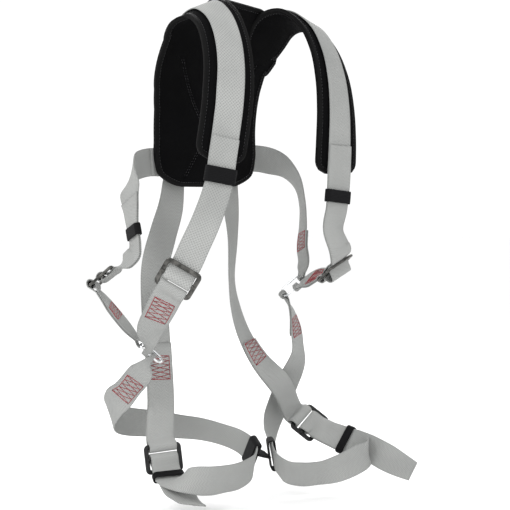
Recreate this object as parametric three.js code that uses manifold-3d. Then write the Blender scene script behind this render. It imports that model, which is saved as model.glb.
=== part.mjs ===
// A padded body harness of flat webbing: a shoulder yoke, side and back straps, leg loops,
// slide buckles, oval hip links and a crotch link. Millimetres, +Z up, the wearer faces -Y and
// the wearer's left is +X. The origin is between the shoulders, at the height the yoke rests on.
import * as THREE from 'three';
import Module from 'manifold-3d';

const wasm = await Module();
wasm.setup();

// ---- Driving dimensions ----
const WEB_WIDTH = 45;
const WEB_THICK = 2;
const LAYER_STEP = 2.6; // centre to centre of two webbing layers lying on each other
const FOLD_RADIUS = 6; // centre line of the webbing round a sliding bar
const PAD_WIDTH = 70;
const FOAM_THICK = 8;
const SKIN_THICK = 1.6;
const FIT_GAP = 0.3;
const SKIN_OFFSET = FOAM_THICK / 2 + FIT_GAP + SKIN_THICK / 2;
const ON_PAD = SKIN_OFFSET + SKIN_THICK / 2 + 1.6 + WEB_THICK / 2;
const TAPE = 5; // bound edge, wide and deep
const FRAME = { width: 61, height: 46, barWidth: 7, thick: 4, bevel: 0.8, corner: 8 };
const BAR_PITCH = (FRAME.height - FRAME.barWidth) / 2; // cross bar to fixed bar
const BAR_RADIUS = 3;
const LINK = { length: 46, width: 21, wire: 2.1 };
const WIRE_OFFSET = LINK.width / 2 - LINK.wire;
const EYE_RADIUS = 5.8; // centre line of a strap eye round a link wire
const KEEPER = { wall: 1.6, innerWidth: 47 };
const CROTCH_LOOP = { wall: 2.2, innerWidth: 49, innerDepth: 9 };
const TACK = { width: 33, thick: 0.5 };
const TACK_LIFT = WEB_THICK / 2 + TACK.thick / 2 + 0.6;

const harness = new THREE.Group();

// ---- Materials ----
const finish = (color, roughness, metalness = 0) => ({ color, roughness, metalness });
const WEBBING = finish(0xc9cac8, 0.8);
const PAD_FABRIC = finish(0x141416, 0.9);
const LINING = finish(0x0e0e10, 0.95);
const FOAM = finish(0x2a2a2c, 0.95);
const ELASTIC = finish(0x18181a, 0.85);
const GUNMETAL = finish(0x6a6d70, 0.35, 0.9);
const BLACK_STEEL = finish(0x1c1d1f, 0.4, 0.8);
const POLISHED = finish(0xdfe1e3, 0.15, 1);
const RED_THREAD = finish(0xb03a40, 0.8);

function addPart(name, geometry, look) {
  const mesh = new THREE.Mesh(geometry, new THREE.MeshStandardMaterial(look));
  mesh.name = name;
  harness.add(mesh);
  return mesh;
}

// ---- Sweeping a flat strap ----
const vec = (x, y, z) => new THREE.Vector3(x, y, z);

// A station is [x, y, z, across x, across y, across z, width]: a point on the strap's centre line
// and the direction its width runs in.
function sample(stations, steps = 2 * (stations.length - 1), width = WEB_WIDTH) {
  const centres = new THREE.CatmullRomCurve3(stations.map((s) => vec(s[0], s[1], s[2])));
  const across = new THREE.CatmullRomCurve3(stations.map((s) => vec(s[3], s[4], s[5]).normalize()));
  const widths = new THREE.CatmullRomCurve3(stations.map((s, i) => vec(i * 50, s[6] ?? width, 0)));
  return Array.from({ length: steps + 1 }, (_, i) => {
    const t = i / steps;
    return { c: centres.getPoint(t), w: across.getPoint(t).normalize(), width: widths.getPoint(t).y };
  });
}

// Squares the width to the centre line and finds the way the strap faces.
function dress(points, closed = false) {
  const last = points.length - 1;
  return points.map((p, i) => {
    const before = points[closed ? (i + last) % (last + 1) : Math.max(i - 1, 0)];
    const after = points[closed ? (i + 1) % (last + 1) : Math.min(i + 1, last)];
    const t = after.c.clone().sub(before.c).normalize();
    const w = p.w.clone().addScaledVector(t, -p.w.dot(t)).normalize();
    return { ...p, t, w, n: t.clone().cross(w) };
  });
}

// The closed solid of a flat strap through the points, open-ended or as a ring.
function sweep(points, { thick = WEB_THICK, offset = 0, closed = false } = {}) {
  const rings = dress(points, closed);
  const verts = [];
  for (const r of rings) {
    for (const [side, face] of [[-1, -1], [1, -1], [1, 1], [-1, 1]]) {
      const p = r.c.clone();
      p.addScaledVector(r.w, (side * r.width) / 2);
      p.addScaledVector(r.n, offset + (face * thick) / 2);
      verts.push(p.x, p.y, p.z);
    }
  }
  const faces = [];
  const quad = (a, b, c, d) => faces.push(a, b, c, a, c, d);
  const count = closed ? rings.length : rings.length - 1;
  for (let i = 0; i < count; i += 1) {
    const a = i * 4;
    const b = ((i + 1) % rings.length) * 4;
    // Both wide faces are split along the same diagonal, so layers nest where a strap twists.
    quad(a, a + 1, b + 1, b);
    quad(a + 1, a + 2, b + 2, b + 1);
    quad(a + 3, b + 3, b + 2, a + 2);
    quad(a + 3, a, b, b + 3);
  }
  if (!closed) {
    const e = count * 4;
    quad(3, 2, 1, 0);
    quad(e, e + 1, e + 2, e + 3);
  }
  return facingOut(verts, faces);
}

function facingOut(verts, faces) {
  const at = (i) => vec(verts[3 * i], verts[3 * i + 1], verts[3 * i + 2]);
  let volume = 0;
  for (let i = 0; i < faces.length; i += 3) {
    volume += at(faces[i]).dot(at(faces[i + 1]).cross(at(faces[i + 2])));
  }
  const order = volume > 0 ? faces : faces.reverse();
  const geometry = new THREE.BufferGeometry();
  geometry.setAttribute('position', new THREE.Float32BufferAttribute(verts, 3));
  geometry.setIndex(order);
  return geometry;
}

// Moves points off their strap, along the way it faces.
function shifted(points, offset) {
  return dress(points).map((p) => ({ c: p.c.clone().addScaledVector(p.n, offset), w: p.w, width: p.width }));
}

// Turns the end of a strap round a bar and lays a tail back along it. face is 1 when the tail lies
// on the side the strap faces, -1 on its back.
function foldBack(points, tail, face = 1, radius = FOLD_RADIUS) {
  const route = dress(points);
  const end = route[route.length - 1];
  const bar = end.c.clone().addScaledVector(end.n, face * radius);
  const folded = points.slice();
  for (let k = 1; k < 8; k += 1) {
    const angle = (k / 8) * Math.PI;
    const c = bar.clone();
    c.addScaledVector(end.n, -face * radius * Math.cos(angle));
    c.addScaledVector(end.t, radius * Math.sin(angle));
    folded.push({ c, w: end.w, width: end.width });
  }
  let run = 0;
  for (let i = route.length - 1; i >= 0 && run <= tail; i -= 1) {
    const r = route[i];
    if (i < route.length - 1) {
      run += r.c.distanceTo(route[i + 1].c);
    }
    const settle = THREE.MathUtils.smoothstep(run, 0, 2 * FOLD_RADIUS + 2);
    const lift = THREE.MathUtils.lerp(2 * radius, LAYER_STEP, settle);
    folded.push({ c: r.c.clone().addScaledVector(r.n, face * lift), w: r.w, width: r.width });
  }
  return folded;
}

// A short strap sewn into a ring: two layers with an eye at each end.
function sewnRing(points, startRadius, endRadius) {
  const route = dress(points);
  const total = route.length - 1;
  const layer = (sign) => route.map((r, i) => {
    const fromStart = r.c.distanceTo(route[0].c);
    const fromEnd = r.c.distanceTo(route[total].c);
    const a = startRadius * (1 - THREE.MathUtils.smoothstep(fromStart, 0, 2.6 * startRadius));
    const b = endRadius * (1 - THREE.MathUtils.smoothstep(fromEnd, 0, 2.6 * endRadius));
    const lift = Math.max(LAYER_STEP / 2, a, b);
    return { c: r.c.clone().addScaledVector(r.n, sign * lift), w: r.w, width: r.width };
  });
  const turn = (r, radius, way) => Array.from({ length: 5 }, (_, k) => {
    const angle = ((k + 1) / 6) * Math.PI;
    const c = r.c.clone();
    c.addScaledVector(r.n, way * radius * Math.cos(angle));
    c.addScaledVector(r.t, way * radius * Math.sin(angle));
    return { c, w: r.w, width: r.width };
  });
  return [
    ...layer(1),
    ...turn(route[total], endRadius, 1),
    ...layer(-1).reverse(),
    ...turn(route[0], startRadius, -1),
  ];
}

// ---- Where the hardware sits ----
// A seat is a buckle's cross bar: its centre, the way the bar runs, the way the adjustable strap
// arrives and the way the buckle faces.
function seat(at, bar, arrives) {
  const across = vec(...bar).normalize();
  const down = vec(...arrives);
  down.addScaledVector(across, -down.dot(across)).normalize();
  const out = down.clone().cross(across);
  const centre = vec(...at);
  const fixedBar = centre.clone().addScaledVector(down, BAR_PITCH);
  return { centre, across, down, out, fixedBar };
}

const SEATS = {
  right_shoulder: seat([-174, -56, -402], [0.68, -0.52, -0.5], [-0.2, 0.45, -0.86]),
  left_shoulder: seat([116, -97, -393], [0.91, 0, 0.4], [0.19, 0.84, -0.5]),
  right_side: seat([-225, 62, -402], [-0.7, -0.7, 0.12], [-0.55, 0.5, -0.67]),
  right_leg: seat([-142, 20, -684], [-0.95, 0.3, -0.05], [0.02, 0.2, 1]),
  left_leg: seat([173, 20, -661], [-0.83, -0.08, -0.54], [-0.4, 0.6, 0.55]),
};

// A link is a centre, the way its long side runs and the way its short side runs.
function linkSeat(at, long, short) {
  const a = vec(...long).normalize();
  const b = vec(...short);
  b.addScaledVector(a, -b.dot(a)).normalize();
  return { centre: vec(...at), a, b };
}

const LINKS = {
  right: linkSeat([-164, 22, -519], [0.55, -0.5, -0.67], [0.8, 0.5, 0.28]),
  left: linkSeat([133, 21, -427], [0.55, -0.5, 0.67], [-0.06, -0.82, -0.56]),
};

// A point on one long wire of a link: side is -1 or 1, along runs from the middle.
function onWire(link, side, along) {
  return link.centre.clone().addScaledVector(link.b, side * WIRE_OFFSET).addScaledVector(link.a, along);
}

// The middle of the bow at one end of a link: end is -1 or 1.
function onBow(link, end) {
  return link.centre.clone().addScaledVector(link.a, end * (LINK.length / 2 - LINK.wire));
}

const station = (p, w, width) => [p.x, p.y, p.z, w.x, w.y, w.z, width];

// The stations a strap passes as it runs past a buckle's top bar to its cross bar. side is -1 when
// it passes behind the top bar, 1 when it passes in front.
function intoBuckle(s, side, approach = [27, 14]) {
  return [...approach, 0].map((back) => {
    const lift = back > 0 ? FOLD_RADIUS + 0.9 : FOLD_RADIUS;
    const p = s.centre.clone().addScaledVector(s.down, -back).addScaledVector(s.out, side * lift);
    return station(p, s.across);
  });
}

// ---- Yoke ----
const PANEL_ROUTE = [
  [0, 86, -257, -1, 0, 0, 146],
  [0, 86, -240, -1, 0, 0, 188],
  [0, 86, -213, -1, 0, 0, 202],
  [0, 86, -189, -1, 0, 0, 202],
  [0, 86, -165, -1, 0, 0, 202],
  [0, 83, -133, -1, 0, 0, 202],
  [0, 73, -100, -1, 0, 0, 203],
  [0, 57, -66, -1, 0, 0, 206],
  [0, 38, -30, -1, 0, 0, 210],
];
// The part of the yoke that stands up behind the neck, between the two shoulder pads.
const NECK_ROUTE = [
  [0, 37, -28, -1, 0, 0, 60],
  [0, 28, -9, -1, 0, 0, 60],
  [0, 19, 8, -1, 0, 0, 58],
  [0, 11, 22, -1, 0, 0, 54],
];
const RIGHT_PAD_ROUTE = [
  [-79, 36.4, -27, -1, 0, 0],
  [-81, 15, 0, -0.95, 0, -0.25],
  [-84, -12, 9, -0.92, 0, -0.36],
  [-92, -50, -9, -0.95, 0.05, -0.25],
  [-101, -80, -45, -0.94, 0.25, 0.05],
  [-109, -97, -90, -0.94, 0.3, 0.2],
  [-117, -103, -140, -0.94, 0.3, 0.2],
  [-124, -103, -182, -0.95, 0.28, 0.2],
  [-132, -103, -222, -0.95, 0.27, 0.2],
];
const LEFT_PAD_ROUTE = [
  [85, 35.8, -26, -1, 0, 0],
  [89, 15, 0, -0.95, -0.08, 0.25],
  [100, -12, 8, -0.9, -0.25, 0.3],
  [108, -50, -10, -0.92, -0.32, 0.1],
  [111, -77, -45, -0.95, -0.25, 0],
  [112, -94, -90, -0.98, -0.12, 0],
  [113, -101, -140, -1, -0.02, 0],
  [112, -103, -190, -1, 0.06, 0],
  [110, -103, -238, -1, 0.1, 0],
];

const panel = sample(PANEL_ROUTE, 24);
const neck = sample(NECK_ROUTE, 6);
const rightPad = sample(RIGHT_PAD_ROUTE, 24, PAD_WIDTH);
const leftPad = sample(LEFT_PAD_ROUTE, 24, PAD_WIDTH);

// Each pad is foam between a lining on the wearer's side and a cover outside.
function addPad(name, points) {
  addPart(`${name}_foam`, sweep(points, { thick: FOAM_THICK }), FOAM);
  addPart(`${name}_lining`, sweep(points, { thick: SKIN_THICK, offset: SKIN_OFFSET }), LINING);
  addPart(`${name}_cover`, sweep(points, { thick: SKIN_THICK, offset: -SKIN_OFFSET }), PAD_FABRIC);
}
addPad('back_panel', panel);
addPad('neck_pad', neck);
addPad('right_shoulder_pad', rightPad);
addPad('left_shoulder_pad', leftPad);

// Tape bound round a pad's edges and one end. It lies level with the foam.
function addBinding(name, points, end) {
  const route = end === 'last' ? dress(points) : dress(points).reverse();
  const corner = route[route.length - 1];
  const away = end === 'last' ? 1 : -1;
  const edge = (side) => route.map((p) => ({
    c: p.c.clone().addScaledVector(p.w, (side * p.width) / 2),
    w: p.n,
    width: TAPE,
  }));
  const under = [-0.3, 0, 0.3].map((k) => ({
    c: corner.c.clone().addScaledVector(corner.w, k * corner.width),
    w: corner.n,
    width: TAPE,
  }));
  const rim = dress([...edge(-1), ...under, ...edge(1).reverse()]);
  const turn = rim[0].n.dot(route[0].w) < 0 ? 1 : -1;
  const round = rim.map((p) => ({ ...p, c: p.c.clone().addScaledVector(p.n, turn * (TAPE / 2 + 0.5)) }));
  const first = route.length;
  for (let k = 0; k < under.length; k += 1) {
    round[first + k].c = under[k].c.clone().addScaledVector(corner.t, away * (TAPE / 2 + 0.5));
  }
  addPart(name, sweep(round, { thick: TAPE }), ELASTIC);
}
addBinding('back_panel_binding', panel, 'first');
addBinding('neck_binding', neck, 'last');
addBinding('right_pad_binding', rightPad, 'last');
addBinding('left_pad_binding', leftPad, 'last');

// ---- Webbing ----
// Stations that follow a pad, lifted off its outer face.
function overPad(points, from, to) {
  const lifted = shifted(points, -ON_PAD);
  const start = dress(points)[0];
  const before = lifted[0].c.clone().addScaledVector(start.t, -11).addScaledVector(start.n, -1.2);
  const first = station(before, start.w.clone().negate(), WEB_WIDTH);
  return [first, ...lifted.slice(from, to).map((p) => station(p.c, p.w.clone().negate(), WEB_WIDTH))];
}

// A station on the panel's outer face, lifted clear of what already lies there.
const panelRoute = dress(sample(PANEL_ROUTE, 60));
function onPanel(x, z, layer, across) {
  const near = panelRoute.reduce((a, b) => (Math.abs(b.c.z - z) < Math.abs(a.c.z - z) ? b : a));
  const p = near.c.clone().addScaledVector(near.n, -ON_PAD - layer * LAYER_STEP);
  const flat = vec(...across).addScaledVector(near.n, -vec(...across).dot(near.n)).normalize();
  return [x, p.y, p.z, ...flat.toArray(), WEB_WIDTH];
}

// The last stations of a strap that ends in an eye: its narrowed neck, passing the wire on one side.
function intoEye(wirePoint, across, arrives, face, neck) {
  const w = across.clone().normalize();
  const t = vec(...arrives);
  t.addScaledVector(w, -t.dot(w)).normalize();
  const n = t.clone().cross(w);
  return [12, 0].map((back) => {
    const p = wirePoint.clone().addScaledVector(t, -back).addScaledVector(n, -face * EYE_RADIUS);
    return station(p, w, neck + 0.7 * back);
  });
}

// The two shoulder straps cross on the panel, run over the pads and down to their buckles.
const rightShoulderRoute = sample([
  onPanel(57, -253, 1, [1, 0, 0]),
  onPanel(52, -238, 1, [0.97, 0, 0.2]),
  onPanel(37, -212, 1, [0.9, 0, 0.45]),
  onPanel(10, -165, 1, [0.9, 0, 0.45]),
  onPanel(-23, -108, 1, [0.9, 0, 0.42]),
  onPanel(-52, -65, 1, [0.92, 0, 0.38]),
  ...overPad(rightPad, 0, 25),
  [-139, -110, -254, 0.95, -0.26, -0.2],
  [-145, -106, -281, 0.94, -0.3, -0.24],
  [-154, -95, -319, 0.88, -0.4, -0.3],
  [-161, -80, -352, 0.8, -0.46, -0.4],
  ...intoBuckle(SEATS.right_shoulder, -1),
]);
const leftShoulderRoute = sample([
  onPanel(-57, -253, 2.1, [1, 0, 0]),
  onPanel(-52, -238, 2.1, [0.97, 0, -0.2]),
  onPanel(-37, -212, 2.1, [0.9, 0, -0.45]),
  onPanel(-10, -165, 2.2, [0.9, 0, -0.45]),
  onPanel(23, -108, 2.1, [0.9, 0, -0.42]),
  onPanel(53, -65, 1.6, [0.92, 0, -0.38]),
  ...overPad(leftPad, 0, 25),
  [107, -112, -262, 0.99, -0.08, 0],
  [103, -112, -296, 0.99, 0, 0.03],
  [92, -115, -330, 0.98, 0.1, 0.12],
  [94, -126, -359, 0.95, 0.05, 0.3],
  ...intoBuckle(SEATS.left_shoulder, -1),
]);
addPart('right_shoulder_strap', sweep(foldBack(rightShoulderRoute, 225)), WEBBING);
addPart('left_shoulder_strap', sweep(foldBack(leftShoulderRoute, 215, 1, 11)), WEBBING);

// The band sewn across the panel, and the side straps that carry on from it.
const bandRoute = sample([
  onPanel(-107, -225, 0, [0, 0, 1]),
  onPanel(0, -220, 0, [0, 0, 1]),
  onPanel(107, -214, 0, [0, 0, 1]),
], 8);
addPart('back_band', sweep(bandRoute), WEBBING);

const rightSideRoute = sample([
  onPanel(-111, -225, 0, [0, 0, 1]),
  [-135, 92, -227, 0, -0.1, 1],
  [-160, 78, -240, -0.1, -0.65, 0.75],
  [-174, 62, -270, 0, -1, 0.1],
  [-182, 46, -296, -0.2, -0.97, 0],
  [-188, 34, -324, -0.3, -0.95, 0],
  [-188, 28, -350, -0.3, -0.93, -0.15],
  [-189, 29, -365, -0.3, -0.87, -0.35],
  [-197, 37, -378, -0.35, -0.84, -0.4],
  ...intoBuckle(SEATS.right_side, -1),
], 48);
addPart('right_side_strap', sweep(foldBack(rightSideRoute, 150)), WEBBING);

const leftSideRoute = sample([
  onPanel(111, -214, 0, [0, 0, -1]),
  [140, 91, -216, 0.1, 0.1, -1],
  [163, 71, -228, 0.35, 0.5, -0.8],
  [170, 48, -252, 0.45, 0.72, -0.5],
  [163, 28, -288, 0.52, 0.84, -0.15],
  [155, 18, -325, 0.48, 0.88, 0],
  [147, 13, -362, 0.4, 0.92, 0, 42],
  [144, 6, -386, 0.2, 0.95, 0.2, 28],
  ...intoEye(onBow(LINKS.left, 1), LINKS.left.b.clone().negate(), [0.04, 0.38, -0.58], 1, 7),
], 44);
addPart('left_side_strap', sweep(foldBack(leftSideRoute, 80, 1, EYE_RADIUS)), WEBBING);

// Back straps run from the panel round the hips to the leg buckles and are folded back there.
function ontoFixedBar(s) {
  return [14, 0].map((back) => {
    const p = s.fixedBar.clone().addScaledVector(s.down, back).addScaledVector(s.out, -FOLD_RADIUS);
    return station(p, s.across.clone().negate());
  });
}
const rightBackRoute = sample([
  [-57, 99.7, -259, 1, 0, 0],
  [-63, 100, -296, 0.97, -0.2, 0],
  [-83, 95, -340, 0.94, -0.33, 0],
  [-108, 84, -392, 0.94, -0.33, 0],
  [-118, 72, -450, 0.95, -0.31, 0],
  [-122, 58, -530, 0.97, -0.24, 0.04],
  [-128, 45, -600, 0.97, -0.22, 0.05],
  ...ontoFixedBar(SEATS.right_leg),
], 44);
addPart('right_back_strap', sweep(foldBack(rightBackRoute, 160, 1)), WEBBING);

const leftBackRoute = sample([
  [57, 97.1, -259, 1, 0, 0],
  [65, 98, -298, 0.96, 0.25, 0.1],
  [66, 95, -349, 0.88, 0.48, 0],
  [62, 93, -418, 0.8, 0.6, 0],
  [65, 86, -465, 0.88, 0.48, 0],
  [74, 74, -510, 0.94, 0.33, 0.04],
  [92, 56, -554, 0.93, 0.2, 0.28],
  [122, 36, -596, 0.82, 0.04, 0.56],
  ...ontoFixedBar(SEATS.left_leg),
], 44);
addPart('left_back_strap', sweep(foldBack(leftBackRoute, 170, 1)), WEBBING);

// Short straps sewn into rings, from a buckle's fixed bar to a hip link. Both ends leave square to
// the bar or wire they go round.
function sewnTie(s, across, middle, wirePoint, wireAcross, neck) {
  const square = (from, to, w) => {
    const d = vec(to[0], to[1], to[2]).sub(from);
    return d.addScaledVector(w, -d.dot(w)).normalize();
  };
  const leaves = s.fixedBar.clone().addScaledVector(square(s.fixedBar, middle[0], across), 12);
  const meets = wirePoint.clone().addScaledVector(square(wirePoint, middle[middle.length - 1], wireAcross), 11);
  return sample([
    station(s.fixedBar, across),
    station(leaves, across),
    ...middle,
    station(meets, wireAcross, neck + 6),
    station(wirePoint, wireAcross, neck),
  ], 24);
}
const rightShoulderTie = sewnTie(
  SEATS.right_shoulder,
  SEATS.right_shoulder.across,
  [[-184, -24, -452, 0.8, -0.35, -0.5], [-184, 0, -484, 0.8, -0.2, -0.55, 40]],
  onWire(LINKS.right, -1, -7),
  LINKS.right.a,
  9,
);
const leftShoulderTie = sewnTie(
  SEATS.left_shoulder,
  SEATS.left_shoulder.across,
  [[122, -45, -410, 0.78, 0.25, 0.55], [127, -20, -416, 0.75, 0.2, 0.6, 34]],
  onWire(LINKS.left, 1, 5),
  LINKS.left.a,
  9,
);
const rightSideTie = sewnTie(
  SEATS.right_side,
  SEATS.right_side.across.clone().negate(),
  [[-216, 59, -446, 0.72, 0.66, 0.1], [-196, 46, -476, 0.75, 0.6, 0.2, 36]],
  onBow(LINKS.right, -1),
  LINKS.right.b,
  8,
);
for (const [name, route] of Object.entries({
  right_shoulder_tie: rightShoulderTie,
  left_shoulder_tie: leftShoulderTie,
  right_side_tie: rightSideTie,
})) {
  addPart(name, sweep(sewnRing(route, FOLD_RADIUS, EYE_RADIUS), { closed: true }), WEBBING);
}

// Leg straps start in an eye on the link, go round behind the thigh and forward between the legs.
const rightLegRoute = sample([
  ...intoEye(onWire(LINKS.right, -1, 5), LINKS.right.a, [0.15, -0.3, 1], 1, 8).reverse(),
  [-180, 26, -548, 0.7, -0.35, -0.6, 38],
  [-195, 40, -574, 0.84, -0.05, -0.55],
  [-200, 66, -598, 0.78, 0, -0.62],
  [-184, 94, -623, 0.6, 0.2, -0.75],
  [-146, 103, -636, 0.35, 0.35, -0.85],
  [-104, 100, -643, 0.25, 0.3, -0.92],
  [-60, 90, -651, 0.25, 0.3, -0.92],
  [-28, 66, -656, 0.3, 0.35, -0.88],
  [-6, 38, -664, 0.3, 0.4, -0.85],
  [8, 10, -674, 0.2, 0.35, -0.9],
  [11, -14, -688, 0.05, 0.3, -0.95],
  [-2, -34, -704, 0, 0.25, -0.96],
  [-40, -48, -713, 0, 0.15, -1],
  [-85, -58, -713, 0, 0.15, -1],
  [-123, -65, -710, 0.03, 0.05, -1],
  [-149, -50, -708, -0.4, -0.35, -0.85, 42],
  [-154, -28, -711, -0.85, 0, -0.5, 40],
  [-151, -9, -712, -0.94, 0.28, -0.15],
  [-147, 3, -705, -0.95, 0.3, -0.07],
  ...intoBuckle(SEATS.right_leg, 1, [14]),
], 80);
const leftLegRoute = sample([
  ...intoEye(onBow(LINKS.left, -1), LINKS.left.b.clone().negate(), [-0.57, -0.3, 0.75], 1, 7).reverse(),
  [142, 30, -470, 0.7, 0.62, 0.2, 32],
  [149, 28, -502, 0.9, 0.4, 0],
  [154, 29, -531, 0.92, 0.38, 0],
  [156, 37, -560, 0.97, 0.08, -0.22],
  [155, 54, -592, 0.88, -0.05, -0.48],
  [145, 66, -629, 0.8, -0.08, -0.6],
  [127, 64, -657, 0.76, 0, -0.65],
  [102, 44, -680, 0.65, 0.15, -0.75],
  [74, 10, -692, 0.5, 0.3, -0.8],
  [52, -20, -697, 0.4, 0.35, -0.85],
  [42, -42, -707, 0.4, 0.4, -0.83],
  [48, -58, -717, 0.35, 0.4, -0.85],
  [72, -66, -724, 0.3, 0.35, -0.9],
  [106, -70, -726, 0.28, 0.3, -0.9],
  [142, -81, -721, 0.3, -0.1, -0.95],
  [171, -95, -708, 0.37, -0.3, -0.87],
  [190, -100, -697, 0.35, 0.2, -0.9],
  [194, -86, -690, 0, 0.4, -0.9],
  [187, -62, -684, -0.5, 0.1, -0.85],
  [180, -38, -677, -0.68, 0, -0.7],
  [176, -16, -671, -0.8, -0.05, -0.6],
  ...intoBuckle(SEATS.left_leg, 1, [14]),
], 88);

function looped(points, tail) {
  const fromLink = foldBack(points.slice().reverse(), tail, 1, EYE_RADIUS);
  return fromLink.reverse();
}
addPart('right_leg_strap', sweep(foldBack(looped(rightLegRoute, 75), 35, -1)), WEBBING);
addPart('left_leg_strap', sweep(foldBack(looped(leftLegRoute, 75), 67, -1)), WEBBING);

// The free tail carries on where the folded end of a leg strap stops.
function freeTail(route, back, stations) {
  const p = dress(route);
  let run = 0;
  let i = p.length - 1;
  while (run < back) {
    run += p[i].c.distanceTo(p[i - 1].c);
    i -= 1;
  }
  const start = p[i].c.clone().addScaledVector(p[i].n, -LAYER_STEP - 0.8);
  return sample([station(start, p[i].w, WEB_WIDTH), ...stations], 12);
}
const rightTail = freeTail(rightLegRoute, 45, [
  [-152, -25, -725, -0.94, 0.05, -0.22],
  [-150, -38, -732, -0.96, 0, -0.1],
  [-146, -51, -740, -0.97, 0, 0.15],
  [-140, -66, -745, -0.95, -0.04, 0.31],
]);
const leftTail = freeTail(leftLegRoute, 80, [
  [199, -77, -690, -0.2, 0.1, -0.95],
  [208, -91, -696, -0.15, 0.1, -0.95],
  [215, -108, -704, -0.2, -0.05, -0.95],
  [228, -131, -717, -0.5, -0.25, -0.8],
  [243, -152, -729, -0.8, -0.3, -0.5],
]);
addPart('right_leg_tail', sweep(rightTail), WEBBING);
addPart('left_leg_tail', sweep(leftTail), WEBBING);

// ---- Buckles ----
function roundedRect(width, height, corner, PathClass = THREE.Shape) {
  const x = width / 2;
  const y = height / 2;
  const path = new PathClass();
  path.moveTo(-x + corner, -y);
  path.lineTo(x - corner, -y);
  path.absarc(x - corner, -y + corner, corner, -Math.PI / 2, 0);
  path.lineTo(x, y - corner);
  path.absarc(x - corner, y - corner, corner, 0, Math.PI / 2);
  path.lineTo(-x + corner, y);
  path.absarc(-x + corner, y - corner, corner, Math.PI / 2, Math.PI);
  path.lineTo(-x, -y + corner);
  path.absarc(-x + corner, -y + corner, corner, Math.PI, 1.5 * Math.PI);
  return path;
}

function frameGeometry() {
  const { width, height, barWidth, thick, bevel, corner } = FRAME;
  const shape = roundedRect(width - 2 * bevel, height - 2 * bevel, corner - bevel);
  const opening = [width - 2 * barWidth + 2 * bevel, height - 2 * barWidth + 2 * bevel];
  shape.holes.push(roundedRect(...opening, corner / 3, THREE.Path));
  const geometry = new THREE.ExtrudeGeometry(shape, {
    depth: thick - 2 * bevel,
    bevelThickness: bevel,
    bevelSize: bevel,
    bevelSegments: 1,
    curveSegments: 4,
  });
  return geometry.translate(0, 0, -thick / 2 + bevel);
}

function toManifold(geometry) {
  const plain = geometry.index ? geometry.toNonIndexed() : geometry;
  const keys = new Map();
  const verts = [];
  const tris = [];
  const position = plain.getAttribute('position');
  for (let i = 0; i < position.count; i += 1) {
    const p = [position.getX(i), position.getY(i), position.getZ(i)];
    const key = p.map((q) => q.toFixed(4)).join(',');
    if (!keys.has(key)) {
      keys.set(key, keys.size);
      verts.push(...p);
    }
    tris.push(keys.get(key));
  }
  return new wasm.Manifold(new wasm.Mesh({
    numProp: 3,
    vertProperties: new Float32Array(verts),
    triVerts: new Uint32Array(tris),
  }));
}

function joined(...geometries) {
  const mesh = geometries.map(toManifold).reduce((a, b) => a.add(b)).getMesh();
  const geometry = new THREE.BufferGeometry();
  geometry.setAttribute('position', new THREE.Float32BufferAttribute(mesh.vertProperties, 3));
  geometry.setIndex(Array.from(mesh.triVerts));
  return geometry;
}

// The cross bar is a round bar with two lugs at each end, one in front of the frame's side bar
// and one behind it, so that it slides along the frame and can't fall out.
function crossBarGeometry() {
  const inner = FRAME.width / 2 - FRAME.barWidth;
  const bar = new THREE.CylinderGeometry(BAR_RADIUS, BAR_RADIUS, 2 * inner - 1, 12).rotateZ(Math.PI / 2);
  const lugLift = FRAME.thick / 2 + 0.3 + 0.8;
  const lugs = [];
  for (const side of [-1, 1]) {
    for (const face of [-1, 1]) {
      const lug = new THREE.BoxGeometry(6.2, 4.4, 1.6);
      lugs.push(lug.translate(side * (inner + 2.2), 0, face * lugLift));
    }
  }
  return joined(bar, ...lugs);
}

function inSeat(geometry, s) {
  const basis = new THREE.Matrix4().makeBasis(s.across, s.down.clone().negate(), s.out);
  return geometry.applyMatrix4(basis.setPosition(s.centre));
}

for (const [name, s] of Object.entries(SEATS)) {
  const look = name.endsWith('leg') ? BLACK_STEEL : GUNMETAL;
  addPart(`${name}_buckle_frame`, inSeat(frameGeometry(), s), look);
  addPart(`${name}_buckle_bar`, inSeat(crossBarGeometry(), s), look);
}

// ---- Hip links ----
function linkGeometry(link) {
  const half = LINK.length / 2 - LINK.width / 2;
  const loop = [];
  for (const end of [1, -1]) {
    for (let k = 0; k <= 8; k += 1) {
      const angle = (k / 8) * Math.PI;
      const p = link.centre.clone().addScaledVector(link.a, end * (half + WIRE_OFFSET * Math.sin(angle)));
      loop.push(p.addScaledVector(link.b, end * WIRE_OFFSET * Math.cos(angle)));
    }
  }
  const curve = new THREE.CatmullRomCurve3(loop, true, 'centripetal');
  return new THREE.TubeGeometry(curve, 36, LINK.wire, 8, true);
}
addPart('right_hip_link', linkGeometry(LINKS.right), POLISHED);
addPart('left_hip_link', linkGeometry(LINKS.left), POLISHED);

// ---- Elastic keepers and the crotch link ----
function nearest(route, [x, y, z]) {
  const target = vec(x, y, z);
  return route.reduce((a, b) => (b.c.distanceTo(target) < a.c.distanceTo(target) ? b : a));
}

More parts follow.
